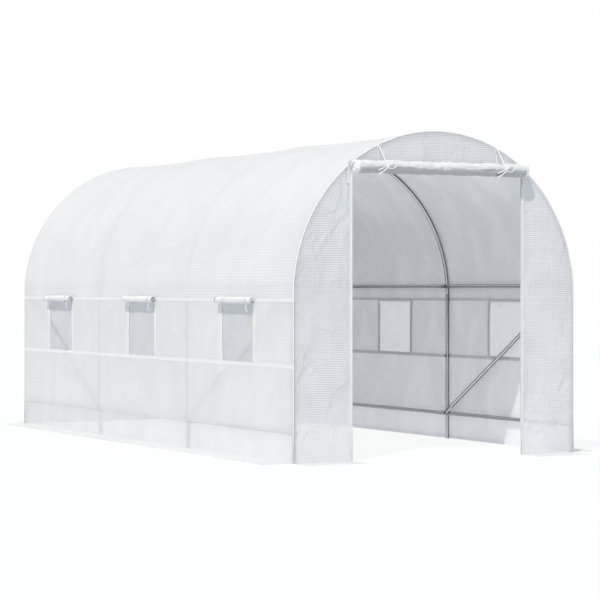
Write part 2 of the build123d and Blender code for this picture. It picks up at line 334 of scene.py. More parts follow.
def tube_material(name, turn):
    """Galvanised tube: zinc with a faint spangle, and three painted highlight lines along the tube that stand
    in for its reflections.
    """
    material, tree = new_material(name)
    line_count = 3
    around = flat_coordinates(tree)[1]
    # Painted highlight: bright lines round the tube, turned by turn
    wound = calc(tree, "ADD", calc(tree, "MULTIPLY", around, 2 * math.pi * line_count), turn)
    painted_highlight = ramp(tree, calc(tree, "COSINE", wound), 0.1, 0.95, 0.0, 1.0)
    place = put(tree, "ShaderNodeTexCoord").outputs["Object"]
    spangle = put(tree, "ShaderNodeTexVoronoi", Vector=place, Scale=60.0)
    crystal = put(tree, "ShaderNodeSeparateColor", Color=spangle.outputs["Color"])
    streaks = noisy(tree, place, 18.0, 4.0, Roughness=0.5)
    tone = calc(tree, "ADD", calc(tree, "MULTIPLY", crystal, 0.2), calc(tree, "MULTIPLY", streaks, 0.8))
    tone = ramp(tree, tone, 0.2, 0.8, 0.0, 1.0)
    zinc = mix_colour(tree, tone, (0.25, 0.265, 0.29), (0.30, 0.315, 0.34))
    colour = mix_colour(tree, painted_highlight, zinc, (0.62, 0.64, 0.67))
    rough = ramp(tree, streaks, 0.3, 0.7, 0.10, 0.15)
    body = put(tree, "ShaderNodeBsdfPrincipled", Base_Color=colour, Metallic=1.0, Roughness=rough)
    surface(tree, body)
    return material


def bolt_material(name):
    """Dark zinc of the bolts, brighter where tools have touched them."""
    material, tree = new_material(name)
    place = put(tree, "ShaderNodeTexCoord").outputs["Object"]
    specks = noisy(tree, place, 420.0, 4.0)
    worn = ramp(tree, specks, 0.5, 0.72, 0.0, 1.0)
    colour = mix_colour(tree, worn, (0.10, 0.105, 0.115), (0.34, 0.35, 0.37))
    bump = put(tree, "ShaderNodeBump", Strength=0.2, Distance=0.0003, Height=specks)
    body = matt(tree, colour, 0.42, bump)
    body.inputs["Metallic"].default_value = 0.8
    surface(tree, body)
    return material


def cord_material(name, dull, bright):
    """Cotton cord or thread, laid in strands."""
    material, tree = new_material(name)
    place = put(tree, "ShaderNodeTexCoord").outputs["Object"]
    lay = put(tree, "ShaderNodeTexWave", Vector=place, Scale=190.0, Distortion=1.2, Detail=2.0)
    lay.bands_direction = "DIAGONAL"
    fuzz = noisy(tree, place, 700.0, 3.0)
    colour = mix_colour(tree, lay.outputs[1], dull, bright)
    height = calc(tree, "ADD", lay.outputs[1], calc(tree, "MULTIPLY", fuzz, 0.4))
    bump = put(tree, "ShaderNodeBump", Strength=0.5, Distance=0.0007, Height=height)
    body = matt(tree, colour, 0.75, bump)
    surface(tree, body)
    return material


thread = (0.90, 0.905, 0.92)
film = (0.975, 0.98, 0.985)
# Painted shade for the lower half of the rolled door
painted_shade = (0.46, 0.475, 0.50)
# The roof is the same sheet as the walls, painted darker than them to offset the steeper sun on it, and painted
# paler towards its foot by lift
roof_cloth = sheet_material(
    "roof_sheet",
    thread=(0.875, 0.875, 0.885),
    cell=(0.81, 0.82, 0.84),
    pass_share=0.26,
    clear=(0.012, 0.004),
    folding=(0.8, 1.9),
    wrinkled=0.02,
    level_threads="u",
    pitch=WIDE_PITCH,
    deep=2.4,
    lift=(UPPER_SEAM, UPPER_SEAM + 0.4, 1.075),
)
# The walls' sheet: on the right wall, painted light below the lower seam and painted shade above it (band), and
# stronger painted fold shade
wall_cloth = sheet_material(
    "wall_sheet",
    thread=(0.94, 0.935, 0.938),
    cell=(0.875, 0.87, 0.874),
    pass_share=0.35,
    clear=(0.012, 0.006),
    folding=(1.8, 0.9),
    wrinkled=0.1,
    pitch=WIDE_PITCH,
    strip=(BASE_RAIL, film, 0.17),
    deep=1.8,
    band=(LOWER_SEAM, 0.07, -0.10, 0.08),
)
end_cloth = sheet_material(
    "end_sheet",
    thread=(0.90, 0.905, 0.915),
    cell=(0.71, 0.735, 0.765),
    pass_share=0.25,
    clear=(0.1, 0.03),
    folding=(1.6, 1.1),
    wrinkled=0.9,
    upright_pitch=WIDE_PITCH,
    strip=(0.235, thread, 0.12),
)
roll_cloth = sheet_material(
    "rolled_sheet", thread=(0.9, 0.905, 0.915), cell=(0.86, 0.87, 0.885), pass_share=0.12, wrinkled=0.2
)
# The rolled door's sheet, with painted shade on the lower half of the roll, below its axis
door_cloth = sheet_material(
    "rolled_door_sheet",
    thread=(0.80, 0.815, 0.83),
    cell=(0.75, 0.77, 0.79),
    pass_share=0.06,
    wrinkled=0.3,
    strip=(DOOR_TOP - 0.004, painted_shade, 0.0),
)
flap_cloth = sheet_material(
    "flap_sheet",
    thread=thread,
    cell=(0.86, 0.865, 0.875),
    pass_share=0.3,
    clear=(0.1, 0.06),
    folding=(0.6, 0.6),
    wrinkled=0.2,
)
net = net_material("insect_net")
tape = tape_material("white_tape", TAPE, (0.85, 0.852, 0.86), (0.89, 0.89, 0.895))
seam_tape = tape_material("seam_tape", TAPE, (0.805, 0.807, 0.815), (0.84, 0.84, 0.845))
zip_tape = tape_material("zip_tape", ZIP_WIDTH, (0.755, 0.765, 0.78), (0.82, 0.825, 0.83))
# Two copies of one zinc, with their painted highlight lines at different turns round the tube
brace_steel = tube_material("brace_tube", 0.0)
steel = tube_material("galvanised_tube", math.pi)
zinc = bolt_material("bolt_zinc")
sewing = cord_material("sewing_thread", (0.30, 0.31, 0.33), (0.44, 0.45, 0.47))
cotton = cord_material("tie_cord", (0.82, 0.83, 0.84), (0.93, 0.93, 0.93))

# Mesh helpers


def circle(centre, side, up, radius, count):
    """Points round a circle, from side towards up."""
    angles = [2 * math.pi * corner / count for corner in range(count)]
    return [centre + (side * math.cos(angle) + up * math.sin(angle)) * radius for angle in angles]


class Shape:
    """Points, faces and flat coordinates gathered for one piece."""

    def __init__(self):
        self.verts = []
        self.faces = []
        self.uvs = []

    def grid(self, us, vs, place, keep=None, flat=None):
        """A patch of cloth: place gives each point, and flat its flat coordinates where they aren't u and v."""
        base = len(self.verts)
        for v in vs:
            for u in us:
                self.verts.append(place(u, v))
                self.uvs.append(flat(u, v) if flat else (u, v))
        for row in range(len(vs) - 1):
            for column in range(len(us) - 1):
                if keep and not keep((us[column] + us[column + 1]) / 2, (vs[row] + vs[row + 1]) / 2):
                    continue
                a = base + row * len(us) + column
                self.faces.append((a, a + 1, a + 1 + len(us), a + len(us)))

    def rings(self, rings):
        """A tube through rings of points, closed at both ends."""
        base = len(self.verts)
        sides = len(rings[0])
        for index, ring in enumerate(rings):
            for corner, point in enumerate(ring):
                self.verts.append(point)
                self.uvs.append((corner / sides, index / len(rings)))
        for ring in range(len(rings) - 1):
            for corner in range(sides):
                a = base + ring * sides + corner
                b = base + ring * sides + (corner + 1) % sides
                self.faces.append((a, b, b + sides, a + sides))
        self.faces.append(tuple(base + corner for corner in reversed(range(sides))))
        last = base + (len(rings) - 1) * sides
        self.faces.append(tuple(last + corner for corner in range(sides)))

    def tube(self, points, radius, sides=TUBE_SIDES):
        """A round tube along points, of one radius or of one for each point."""
        points = [Vector(p) for p in points]
        radii = radius if isinstance(radius, list) else [radius] * len(points)
        side = None
        rings = []
        for index, point in enumerate(points):
            along = (points[min(index + 1, len(points) - 1)] - points[max(index - 1, 0)]).normalized()
            if side is None:
                side = along.orthogonal()
            side = (side - along * side.dot(along)).normalized()
            rings.append(circle(point, side, along.cross(side), radii[index], sides))
        self.rings(rings)

    def make(self, name, material, slot, *nodes):
        """The piece in the scene, and the nodes that it replaces; slot is not used."""
        mesh = bpy.data.meshes.new(name)
        mesh.from_pydata([tuple(v) for v in self.verts], [], self.faces)
        layer = mesh.uv_layers.new(name="flat")
        for loop in mesh.loops:
            layer.data[loop.index].uv = self.uvs[loop.vertex_index]
        for polygon in mesh.polygons:
            polygon.use_smooth = True
        mesh.materials.append(material)
        obj = link(bpy.data.objects.new(name, mesh))
        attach(obj, "root")
        if nodes:
            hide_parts(*nodes)
        return obj


def spread(low, high, step, stops=()):
    """Numbers from low to high, no further apart than step, with a number at each stop."""
    marks = sorted({round(low, 6), round(high, 6), *[round(s, 6) for s in stops if low < s < high]})
    out = [marks[0]]
    for near, far in zip(marks, marks[1:]):
        count = max(1, math.ceil((far - near) / step))
        out += [near + (far - near) * i / count for i in range(1, count + 1)]
    return out


def waves(u, v, seed, size, octaves=3):
    """Smooth noise from about -1 to 1, the same in every run."""
    return noise.fractal(Vector((u / size, v / size, seed)), 0.9, 2.1, octaves)


def creases(u, v, seed, size):
    """Sharp-backed folds from 0 to 1."""
    return 1 - min(1.0, abs(waves(u, v, seed, size, 2)) * 2.6)


def slack(y):
    """0 where a hoop holds the sheet, 1 halfway between two hoops."""
    for near, far in zip(HOOP_YS, HOOP_YS[1:]):
        if near <= y <= far:
            return math.sin(math.pi * (y - near) / (far - near)) ** 0.8
    return 0.0


# Ties of the rolled door, on the route that the part's source gives them, in millimetres from the roll's axis

TIE_ROUTE = [
    (0, 39.6, 27), (-6, 39.6, 97), (-9, 39.6, 133), (-8, 27.5, 135), (-4.6, 7.5, 103.9),
    (0.8, -25.2, 53.2), (4, -44, 24), (12, -52, -8), (39, -51, -14), (70, -48, -4),
    (74, -44, 22), (46, -46, 30), (2, -61, 0), (-49, -51, -22),
]
SECOND_TAIL = [(8, -57, -8), (-4, -63, -15), (-18, -61, -28), (-34, -55, -37), (-49, -50, -47)]
KNOT_PLACE = (6, -57, -2)
KNOT_STEP = Vector((0.004, -0.001, -0.004))
MM_IN_METRE = 1000
TIE_LENGTH = 0.4925
TAIL_LENGTH = 0.072
ROLL_AXIS = Vector((0, FRONT - DOOR_ROLL, DOOR_TOP))


def route_points(tie_x, route):
    return [Vector((tie_x, 0, 0)) + ROLL_AXIS + Vector(p) / MM_IN_METRE for p in route]


def cord_piece(name, points):
    curve = bpy.data.curves.new(name, "CURVE")
    curve.dimensions = "3D"
    curve.bevel_depth = TIE_DIAMETER / 2
    curve.bevel_resolution = 4
    curve.resolution_u = 10
    curve.use_fill_caps = True
    spline = curve.splines.new("NURBS")
    spline.points.add(len(points) - 1)
    for control, point in zip(spline.points, points):
        control.co = (*point, 1.0)
    spline.order_u = 3
    spline.use_endpoint_u = True
    curve.materials.append(cotton)
    piece = link(bpy.data.objects.new(name, curve))
    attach(piece, "root")
    return piece


def ring_points(centre, normal, radius, count=24):
    normal = Vector(normal).normalized()
    side = normal.orthogonal().normalized()
    ring = circle(centre, side, normal.cross(side), radius, count)
    return ring + ring[:1]


for side, tie_x in (("left", -TIE_X), ("right", TIE_X)):
    route = route_points(tie_x, TIE_ROUTE)
    tail = route_points(tie_x, SECOND_TAIL)
    knot = Shape()
    heart = route_points(tie_x, [KNOT_PLACE])[0]
    knot.tube(ring_points(heart, (1.0, 0.1, 0.75), 0.0072), 0.0034, 12)
    knot.tube(ring_points(heart + KNOT_STEP, (0.85, -0.2, 0.5), 0.0068), 0.0032, 12)
    knot_piece = knot.make(f"{side}_tie_knot", cotton, "tie_cord")
    stops = []
    for label, end, before in (("upper", route[-1], route[-2]), ("lower", tail[-1], tail[-2])):
        stop = Shape()
        stop.tube(ring_points(end, end - before, 0.0024, 16), 0.0026, 10)
        stops.append(stop.make(f"{side}_tie_{label}_end_knot", cotton, "tie_cord"))
    first = cord_piece(f"{side}_tie", route)
    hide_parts(f"{side}_tie_cord")
    second = cord_piece(f"{side}_tie_second_tail", tail)
    cords = (
        (first, route, TIE_LENGTH, [knot_piece, stops[0]]),
        (second, tail, TAIL_LENGTH, [stops[1]]),
    )
    for cord, points, length, pieces in cords:
        tuple(points[0])
        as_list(pieces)

# Frame of tubes

LEG_LEVELS = (0.0, 0.004, 0.5, SPRING - 0.001)
LEG_RIM = ((SPRING - 0.004, 0.0125), (SPRING - 0.002, 0.0119), (SPRING, 0.0112))
BOW_STEPS = 64

for sign, side in SIDES:
    legs = Shape()
    bows = Shape()
    for y in HOOP_YS:
        legs.tube([(sign * HOOP_RADIUS, y, z) for z in LEG_LEVELS], HOOP_TUBE)
        legs.tube([(sign * HOOP_RADIUS, y, z) for z, _ in LEG_RIM], [radius for _, radius in LEG_RIM])
        arc = []
        for step in range(BOW_STEPS + 1):
            angle = RIDGE * step / BOW_STEPS
            arc.append((sign * HOOP_RADIUS * math.cos(angle), y, SPRING + HOOP_RADIUS * math.sin(angle)))
        bows.tube(arc, HOOP_TUBE)
    legs.make(f"{side}_hoop_legs", steel, "galvanised_tube", f"{side}_legs")
    bows.make(f"{side}_hoop_bows", steel, "galvanised_tube", f"{side}_bows")


def bolt_level(level):
    """Where the middle of a tab lies in a stack whose outermost tab is level 0."""
    return HOOP_INSIDE - (SEAT_GAP + TAB / 2 + level * TAB_STACK)


def stack_depth(tabs):
    """How far a stack of tabs reaches in from a hoop."""
    return SEAT_GAP + TAB_STACK * tabs


def base_point(y, level):
    return Vector((bolt_level(level), y, BASE_RAIL))


def arch_point(y, level, angle):
    radius = bolt_level(level)
    return Vector((radius * math.cos(angle), y, SPRING + radius * math.sin(angle)))


def outward(angle):
    return Vector((math.cos(angle), 0, math.sin(angle)))


def smooth(share):
    share = max(0.0, min(1.0, share))
    return share * share * (3 - 2 * share)


def pressed_rings(start, start_normal, end, end_normal, tab):
    """Rings along a round tube with both ends pressed into flat tabs with round tips."""
    axis = (end - start).normalized()
    length = (end - start).length
    least_tip, squareness = 0.12, 0.62
    marks = [-TAB_TIP + TAB_TIP * s for s in (0.0, 0.1, 0.3, 0.6, 1.0)] + [tab * 0.5, tab]
    marks += [tab + PRESS * s / 8 for s in range(1, 9)]
    stations = marks + [length * s for s in (0.3, 0.5, 0.7)] + [length - m for m in reversed(marks)]
    rings = []
    for station in stations:
        near = min(station, length - station)
        press = 1 - smooth((near - tab) / PRESS)
        width = RAIL + (TAB_WIDTH - RAIL) * press
        depth = RAIL + (TAB - RAIL) * press
        if near < 0:
            width *= math.sqrt(max(least_tip, 1 - (near / TAB_TIP) ** 2))
        square = 1.0 - squareness * press
        turn = start_normal.lerp(end_normal, max(0.0, min(1.0, station / length)))
        across = turn.cross(axis).normalized()
        flat = axis.cross(across)
        ring = []
        for corner in range(TUBE_SIDES):
            angle = 2 * math.pi * corner / TUBE_SIDES
            c, s = math.cos(angle), math.sin(angle)
            x = math.copysign(abs(c) ** square, c) * width / 2
            y = math.copysign(abs(s) ** square, s) * depth / 2
            ring.append(start + axis * station + across * x + flat * y)
        rings.append(ring)
    return rings


def mirrored(rings):
    return [[Vector((-p.x, p.y, p.z)) for p in reversed(ring)] for ring in rings]


def pressed_piece(name, rings_list, node):
    shape = Shape()
    for rings in rings_list:
        shape.rings(rings)
    shape.make(name, brace_steel if "brace" in name else steel, "galvanised_tube", node)


# Levels and radii of a bolt's discs: the head's from the hoop's outer line, the others' from the tabs
BOLT_HEAD = ((-0.002, 0.0068), (0.0006, 0.0066), (0.0017, 0.005), (0.0022, 0.002))
WASHER = ((-0.0016, 0.0082), (-0.0002, 0.0082))
NUT = ((-0.0062, 0.0058), (-0.0057, 0.0065), (-0.0016, 0.0065))
BOLT_TIP = ((-0.0092, 0.0028), (-0.0088, 0.0031), (-0.0062, 0.0031))
BRACE_LEVEL = 2

bolts = Shape()


def bolt(place, normal, through):
    """A bolt through a hoop: a domed head outside the hoop, and a washer and nut on the tabs inside it."""
    normal = Vector(normal).normalized()
    side = Vector((0, 1, 0))
    up = normal.cross(side).normalized()
    crown = 2 * HOOP_TUBE + through
    discs = ((crown, BOLT_HEAD, 16), (0.0, WASHER, 20), (0.0, NUT, 6), (0.0, BOLT_TIP, 12))
    for base, level_radii, sides in discs:
        bolts.rings([circle(place + normal * (base + level), side, up, r, sides) for level, r in level_radii])


def rail_rings(near_y, far_y, level, angle):
    """Rings of a rail along the tunnel: at an angle of the arch, or near the ground where there is none."""
    if angle is None:
        near, far = base_point(near_y, level), base_point(far_y, level)
    else:
        near, far = arch_point(near_y, level, angle), arch_point(far_y, level, angle)
    normal = outward(angle or 0)
    return pressed_rings(near, normal, far, normal, RAIL_TAB)


for bay, (near_y, far_y) in enumerate(zip(HOOP_YS, HOOP_YS[1:]), start=1):
    level = (bay + 1) % 2
    for label, angle in (("base", None), ("shoulder", SHOULDER)):
        rings = rail_rings(near_y, far_y, level, angle)
        pressed_piece(f"{label}_tubes_bay_{bay}", [rings, mirrored(rings)], f"bay_{bay}_{label}_rails")
    pressed_piece(f"ridge_tube_bay_{bay}", [rail_rings(near_y, far_y, level, RIDGE)], f"bay_{bay}_ridge_rail")

for end, end_y, next_y in (("front", HOOP_YS[0], HOOP_YS[1]), ("back", HOOP_YS[-1], HOOP_YS[-2])):
    top, foot = arch_point(end_y, BRACE_LEVEL, SHOULDER), base_point(next_y, BRACE_LEVEL)
    rings = pressed_rings(top, outward(SHOULDER), foot, outward(0), BRACE_TAB)
    pressed_piece(f"{end}_brace_tubes", [rings, mirrored(rings)], f"{end}_braces")

for y in HOOP_YS:
    outer = y in (HOOP_YS[0], HOOP_YS[-1])
    tab_counts = (1, 3, 1) if outer else (3, 2, 2)
    base_depth, shoulder_depth, ridge_depth = [stack_depth(tabs) for tabs in tab_counts]
    for sign in (1, -1):
        bolt(Vector((sign * (HOOP_INSIDE - base_depth), y, BASE_RAIL)), (sign, 0, 0), base_depth)
        normal = Vector((sign * math.cos(SHOULDER), 0, math.sin(SHOULDER)))
        bolt(Vector((0, y, SPRING)) + normal * (HOOP_INSIDE - shoulder_depth), normal, shoulder_depth)
        bolt(Vector((sign * HOOP_INSIDE, y, LOWER_SEAM)), (sign, 0, 0), 0.0)
    bolt(Vector((0, y, SPRING + HOOP_INSIDE - ridge_depth)), (0, 0, 1), ridge_depth)
bolts.make("frame_bolts", zinc, "galvanised_tube")

# Cover over the arch, one sheet from seam to seam

RISE = SPRING - UPPER_SEAM
ARCH = math.pi * COVER_RADIUS
ROOF_LENGTH = ARCH + 2 * RISE
REACH = 0.018
ROOF_SAG, CROWN_SAG = 0.0035, 0.010
ROOF_SOFT, ROOF_PULL, ROOF_FINE, ROOF_DRAPE = 0.0016, 0.0016, 0.0004, 0.0050


def roof_depth(u, y):
    """How far the roof's sheet stands in from the hoops' outer line, at most REACH."""
    hold = slack(y)
    crown = math.sin(max(0.0, min(1.0, (u - RISE) / ARCH)) * math.pi)
    sag = (ROOF_SAG + CROWN_SAG * crown) * hold
    soft = ROOF_SOFT * waves(u, y * 0.6, seed=3.1, size=0.5) * (0.25 + 0.75 * hold)
    pull = ROOF_PULL * creases(u * 0.8 + y * 0.35, y * 0.5 - u * 0.2, seed=7.7, size=0.5)
    pull *= (0.3 + 0.7 * hold) * hold
    fine = ROOF_FINE * creases(u * 0.5 - y * 0.9, y * 0.7 + u * 0.3, seed=9.2, size=0.21) * hold
    right = max(0.0, 1 - 2 * u / ROOF_LENGTH)
    drape = ROOF_DRAPE * creases(u * 0.4, y, seed=5.3, size=0.36) * hold * math.sqrt(right)
    return REACH * math.tanh((sag + abs(soft) * 0.6 + soft * 0.4 + pull + fine + drape) / REACH)


def roof_point(u, y):
    radius = SHEET_LINE - roof_depth(u, y)
    if u < RISE:
        return Vector((radius, y, UPPER_SEAM + u))
    if u > RISE + ARCH:
        return Vector((-radius, y, UPPER_SEAM + ROOF_LENGTH - u))
    angle = (u - RISE) / COVER_RADIUS
    return Vector((radius * math.cos(angle), y, SPRING + radius * math.sin(angle)))


roof = Shape()
roof.grid(
    spread(0, ROOF_LENGTH, ROOF_STEP, (RISE, RISE + ARCH)),
    spread(*COVER_ENDS, ROOF_STEP, HOOP_YS),
    roof_point,
)
roof_nodes = [f"{side}_roof_{part}" for side in ("left", "right") for part in ("lower", "upper")]
roof_sheet = roof.make("roof_sheet", roof_cloth, "cover_sheet", *roof_nodes)

# Side walls with their windows, nets and tapes

WALL_SAG, WALL_SOFT, WALL_PULL = 0.0035, 0.0030, 0.0026
STEADY_FOOT = 0.12
NET_IN = 0.0022


def wall_depth(y, z, seed):
    """How far a side wall's sheet stands in from the hoops' outer line."""
    hold = slack(y)
    foot = min(1.0, z / STEADY_FOOT)
    sag = WALL_SAG * hold * math.sin(math.pi * min(1.0, z / UPPER_SEAM)) ** 0.6
    soft = WALL_SOFT * abs(waves(y * 0.8, z * 1.4, seed, size=0.34)) * (0.2 + 0.8 * hold)
    pull = WALL_PULL * creases(y * 0.9 + z * 0.7, z - y * 0.3, seed + 4, size=0.42) * hold
    return (sag + soft + pull) * foot


def in_window(y, z):
    level = abs(z - BAND_MIDDLE) <= WINDOW_HEIGHT / 2
    return level and any(abs(y - middle) < WINDOW_WIDTH / 2 for middle in WINDOW_YS)


def crosswise(width):
    """Places across a tape, from edge to edge."""
    return [-width / 2, -width / 4, 0.0, width / 4, width / 2]


window_stops = [y + s * WINDOW_WIDTH / 2 for y in WINDOW_YS for s in (-1, 1)]
level_stops = [LOWER_SEAM, BAND_MIDDLE - WINDOW_HEIGHT / 2, BAND_MIDDLE + WINDOW_HEIGHT / 2]

for sign, side in SIDES:
    seed = 11.3 if sign > 0 else 19.9

    def on_wall(out):
        return lambda y, z: Vector((sign * (SHEET_LINE + out - wall_depth(y, z, seed)), y, z))

    wall = Shape()
    wall.grid(
        spread(*COVER_ENDS, ROOF_STEP, window_stops),
        spread(GROUND_GAP, UPPER_SEAM, STEP, level_stops),
        on_wall(0.0),
        lambda y, z: not in_window(y, z),
    )
    wall_sheet = wall.make(
        f"{side}_wall_sheet", wall_cloth, "cover_sheet", f"{side}_lower_wall", f"{side}_window_band"
    )
    levels = spread(LOWER_SEAM, UPPER_SEAM, STEP)
    screens = Shape()
    for middle in WINDOW_YS:
        screens.grid(
            spread(middle - WINDOW_WIDTH / 2 - SCREEN_LAP, middle + WINDOW_WIDTH / 2 + SCREEN_LAP, STEP),
            levels,
            on_wall(-NET_IN),
        )
    screen_sheet = screens.make(f"{side}_window_nets", net, "insect_screen", f"{side}_window_screens")
    tapes = Shape()
    place = on_wall(TAPE_OUT)
    for level in (LOWER_SEAM, UPPER_SEAM):
        tapes.grid(spread(*COVER_ENDS, ROOF_STEP), crosswise(TAPE), lambda y, v: place(y, level + v))
    for middle in WINDOW_YS:
        for edge in (-1, 1):
            centre = middle + edge * (WINDOW_WIDTH + SIDE_TAPE) / 2
            tapes.grid(levels, crosswise(SIDE_TAPE), lambda z, v: place(centre + v, z))
    tape_piece = tapes.make(f"{side}_sewn_tapes", seam_tape, "white_tape", f"{side}_window_tapes")

# End walls

END_SOFT, END_PULL = 0.003, 0.0045
END_IN = 0.0006
STEADY_EDGE = 0.1


def arch_top(x):
    return SPRING + math.sqrt(max(0.0, END_LINE**2 - x * x))


def end_depth(x, z, seed):
    """How far an end's sheet stands in, with less of it near the arch."""
    soft = END_SOFT * waves(x, z * 0.6, seed, size=0.4)
    pull = END_PULL * creases(x * 1.3 + z * 0.5, z * 0.6 - x * 0.4, seed + 3, size=0.42)
    to_edge = max(0.0, END_LINE - math.hypot(x, max(0.0, z - SPRING)))
    return END_IN + max(0.0, soft + pull) * min(1.0, to_edge / STEADY_EDGE)


def end_point(y, inward, seed):
    return lambda x, z: Vector((x, y + inward * end_depth(x, z, seed), z))


def arched_panel(shape, low_x, high_x, low_z, place):
    """A panel from a level edge up to the arch, laid out in columns."""
    rows = 1 + math.ceil((arch_top(min(abs(low_x), abs(high_x))) - low_z) / ROOF_STEP)

    def flat(x, row):
        return x, low_z + (arch_top(x) - low_z) * row / rows

    shape.grid(spread(low_x, high_x, STEP), range(rows + 1), lambda x, row: place(*flat(x, row)), flat=flat)


def arch_area(low_x, high_x, low_z):
    steps = 400
    width = (high_x - low_x) / steps
    return sum((arch_top(low_x + (i + 0.5) * width) - low_z) * width for i in range(steps))


for side, sign in (("left", -1), ("right", 1)):
    panel = Shape()
    low, high = (DOOR_HALF, END_LINE) if sign > 0 else (-END_LINE, -DOOR_HALF)
    arched_panel(panel, low, high, GROUND_GAP, end_point(FRONT, 1, 31.0 + sign))
    piece = panel.make(f"{side}_front_sheet", end_cloth, "cover_sheet", f"front_{side}_panel")
    arch_area(low, high, 0.0)

lunette = Shape()
arched_panel(lunette, -DOOR_HALF, DOOR_HALF, DOOR_TOP, end_point(FRONT, 1, 35.0))
lunette_piece = lunette.make("lunette_sheet", end_cloth, "cover_sheet", "front_lunette")

back = Shape()
arched_panel(back, -END_LINE, END_LINE, GROUND_GAP, end_point(BACK, -1, 39.0))
back_piece = back.make("back_sheet", end_cloth, "cover_sheet", "back_panel")

# Piping sewn round both ends of the cover
PIPING_IN = 0.002
PIPING_TUBE = 0.0042
PIPING_LEVELS = (0.004, 0.25, 0.5, 0.75)
PIPING_STEPS = 96

for label, y in (("front", FRONT + PIPING_IN), ("back", BACK - PIPING_IN)):
    piping = Shape()
    line = [(-PIPING_LINE, y, z) for z in PIPING_LEVELS]
    for step in range(PIPING_STEPS + 1):
        angle = math.pi * step / PIPING_STEPS
        line.append((-PIPING_LINE * math.cos(angle), y, SPRING + PIPING_LINE * math.sin(angle)))
    line += [(PIPING_LINE, y, z) for z in reversed(PIPING_LEVELS)]
    piping.tube(line, PIPING_TUBE, 10)
    piping.make(f"{label}_piping", tape, "white_tape")

# Stitches down the upright corners of the front
STITCH_COUNT, STITCH_FOOT, STITCH_PITCH, STITCH_LENGTH = 57, 0.03, 0.0165, 0.0095
STITCH_X, STITCH_OUT, STITCH_TUBE = 0.9915, 0.0006, 0.0009

stitches = Shape()
for sign in (-1, 1):
    for step in range(STITCH_COUNT):
        low = STITCH_FOOT + STITCH_PITCH * step
        ends = [(sign * STITCH_X, FRONT - STITCH_OUT, z) for z in (low, low + STITCH_LENGTH)]
        stitches.tube(ends, STITCH_TUBE, 6)
stitches.make("corner_stitches", sewing, "white_tape")

# Zip tapes of the door, their teeth, a pull and the left tape's loose end
ZIP_FOOT, ZIP_TOP, ZIP_LENGTH = 0.004, 1.728, 1.724
TEETH_IN, TEETH_OUT, TEETH_TUBE = 0.004, 0.0022, 0.0018
PULL_IN, PULL_OUT = 0.012, 0.005
PULL_LEVELS = (1.678, 1.683, 1.712, 1.717)
PULL_RADII = [0.002, 0.0042, 0.0034, 0.002]
LOOSE_X, LOOSE_WIDTH = -0.632, 0.02
LOOSE_PATH = [
    (0.0012, 1.668), (0.0016, 1.70), (0.006, 1.733), (0.016, 1.765), (0.03, 1.793),
    (0.048, 1.806), (0.06, 1.799),
]

zips = Shape()
teeth = Shape()
for sign in (-1, 1):
    middle = sign * (DOOR_HALF + ZIP_WIDTH / 2)
    zips.grid(
        spread(ZIP_FOOT, ZIP_TOP, FLAP_STEP),
        crosswise(ZIP_WIDTH),
        lambda z, v: Vector((middle + v, FRONT - 0.0009 - 0.0005 * waves(z, v * 9, seed=5.5, size=0.2), z)),
    )
    teeth_x = sign * (DOOR_HALF + TEETH_IN)
    teeth_levels = spread(ZIP_FOOT + 0.002, ZIP_TOP - 0.002, 0.2)
    teeth.tube([(teeth_x, FRONT - TEETH_OUT, z) for z in teeth_levels], TEETH_TUBE, 8)
zips.grid(
    range(len(LOOSE_PATH)),
    crosswise(LOOSE_WIDTH),
    lambda i, v: Vector((LOOSE_X + v + 0.003 * math.sin(i * 1.3), FRONT - LOOSE_PATH[i][0], LOOSE_PATH[i][1])),
)
teeth.tube([(DOOR_HALF + PULL_IN, FRONT - PULL_OUT, z) for z in PULL_LEVELS], PULL_RADII, 10)
zip_piece = zips.make("door_zip_tapes", zip_tape, "white_tape", "door_zips")
teeth.make("door_zip_teeth", zip_tape, "white_tape")

# Ground flaps

FLAP_LIFT = 0.0012
FLAP_SWELL, FLAP_RIPPLE = 0.006, 0.004
FLAP_HOLD = 0.05
EDGE_STRAY = 0.004


def flap_height(u, v, seed):
    """Height of a flap that lies on the ground, by the place along the cover and out from it."""
    swell = FLAP_SWELL * max(0.0, waves(u, v, seed, size=0.25))
    ripple = FLAP_RIPPLE * max(0.0, waves(u, v, seed + 2, size=0.09))
    return FLAP_LIFT + (swell + ripple) * min(1.0, v / FLAP_HOLD)


def flap_out(u, v, seed, size):
    """How far out a flap's point lies, with a free edge that strays from a straight line."""
    return v + EDGE_STRAY * v / FLAP * waves(u, 0, seed, size)


def flap_piece(name, node, patches, place):
    """A ground flap of patches, each from one place along the cover's edge to another."""
    flap = Shape()
    for low, high, step in patches:
        flap.grid(spread(low, high, step), spread(0.0, FLAP, STEP), place)
    piece = flap.make(name, flap_cloth, "cover_sheet", node)


for sign, side in SIDES:

    def beside(y, v):
        out = COVER_RADIUS + flap_out(y, v, 3.0, 0.3)
        return Vector((sign * out, y, flap_height(y, v, 51.0 + sign)))

    flap_piece(
        f"{side}_flap_sheet", f"{side}_ground_flap", [(FRONT, BACK, FLAP_STEP)], beside
    )
flap_piece(
    "back_flap_sheet",
    "back_ground_flap",
    [(-COVER_RADIUS, COVER_RADIUS, FLAP_STEP)],
    lambda x, v: Vector((x, BACK + flap_out(x, v, 4.0, 0.3), flap_height(x, v, 57.0))),
)
flap_piece(
    "front_flap_sheets",
    "front_ground_flaps",
    [(-COVER_RADIUS, -DOOR_HALF, STEP), (DOOR_HALF, COVER_RADIUS, STEP)],
    lambda x, v: Vector((x, FRONT - flap_out(x, v, 6.0, 0.2), flap_height(x, v, 57.0))),
)

# Rolled sheets

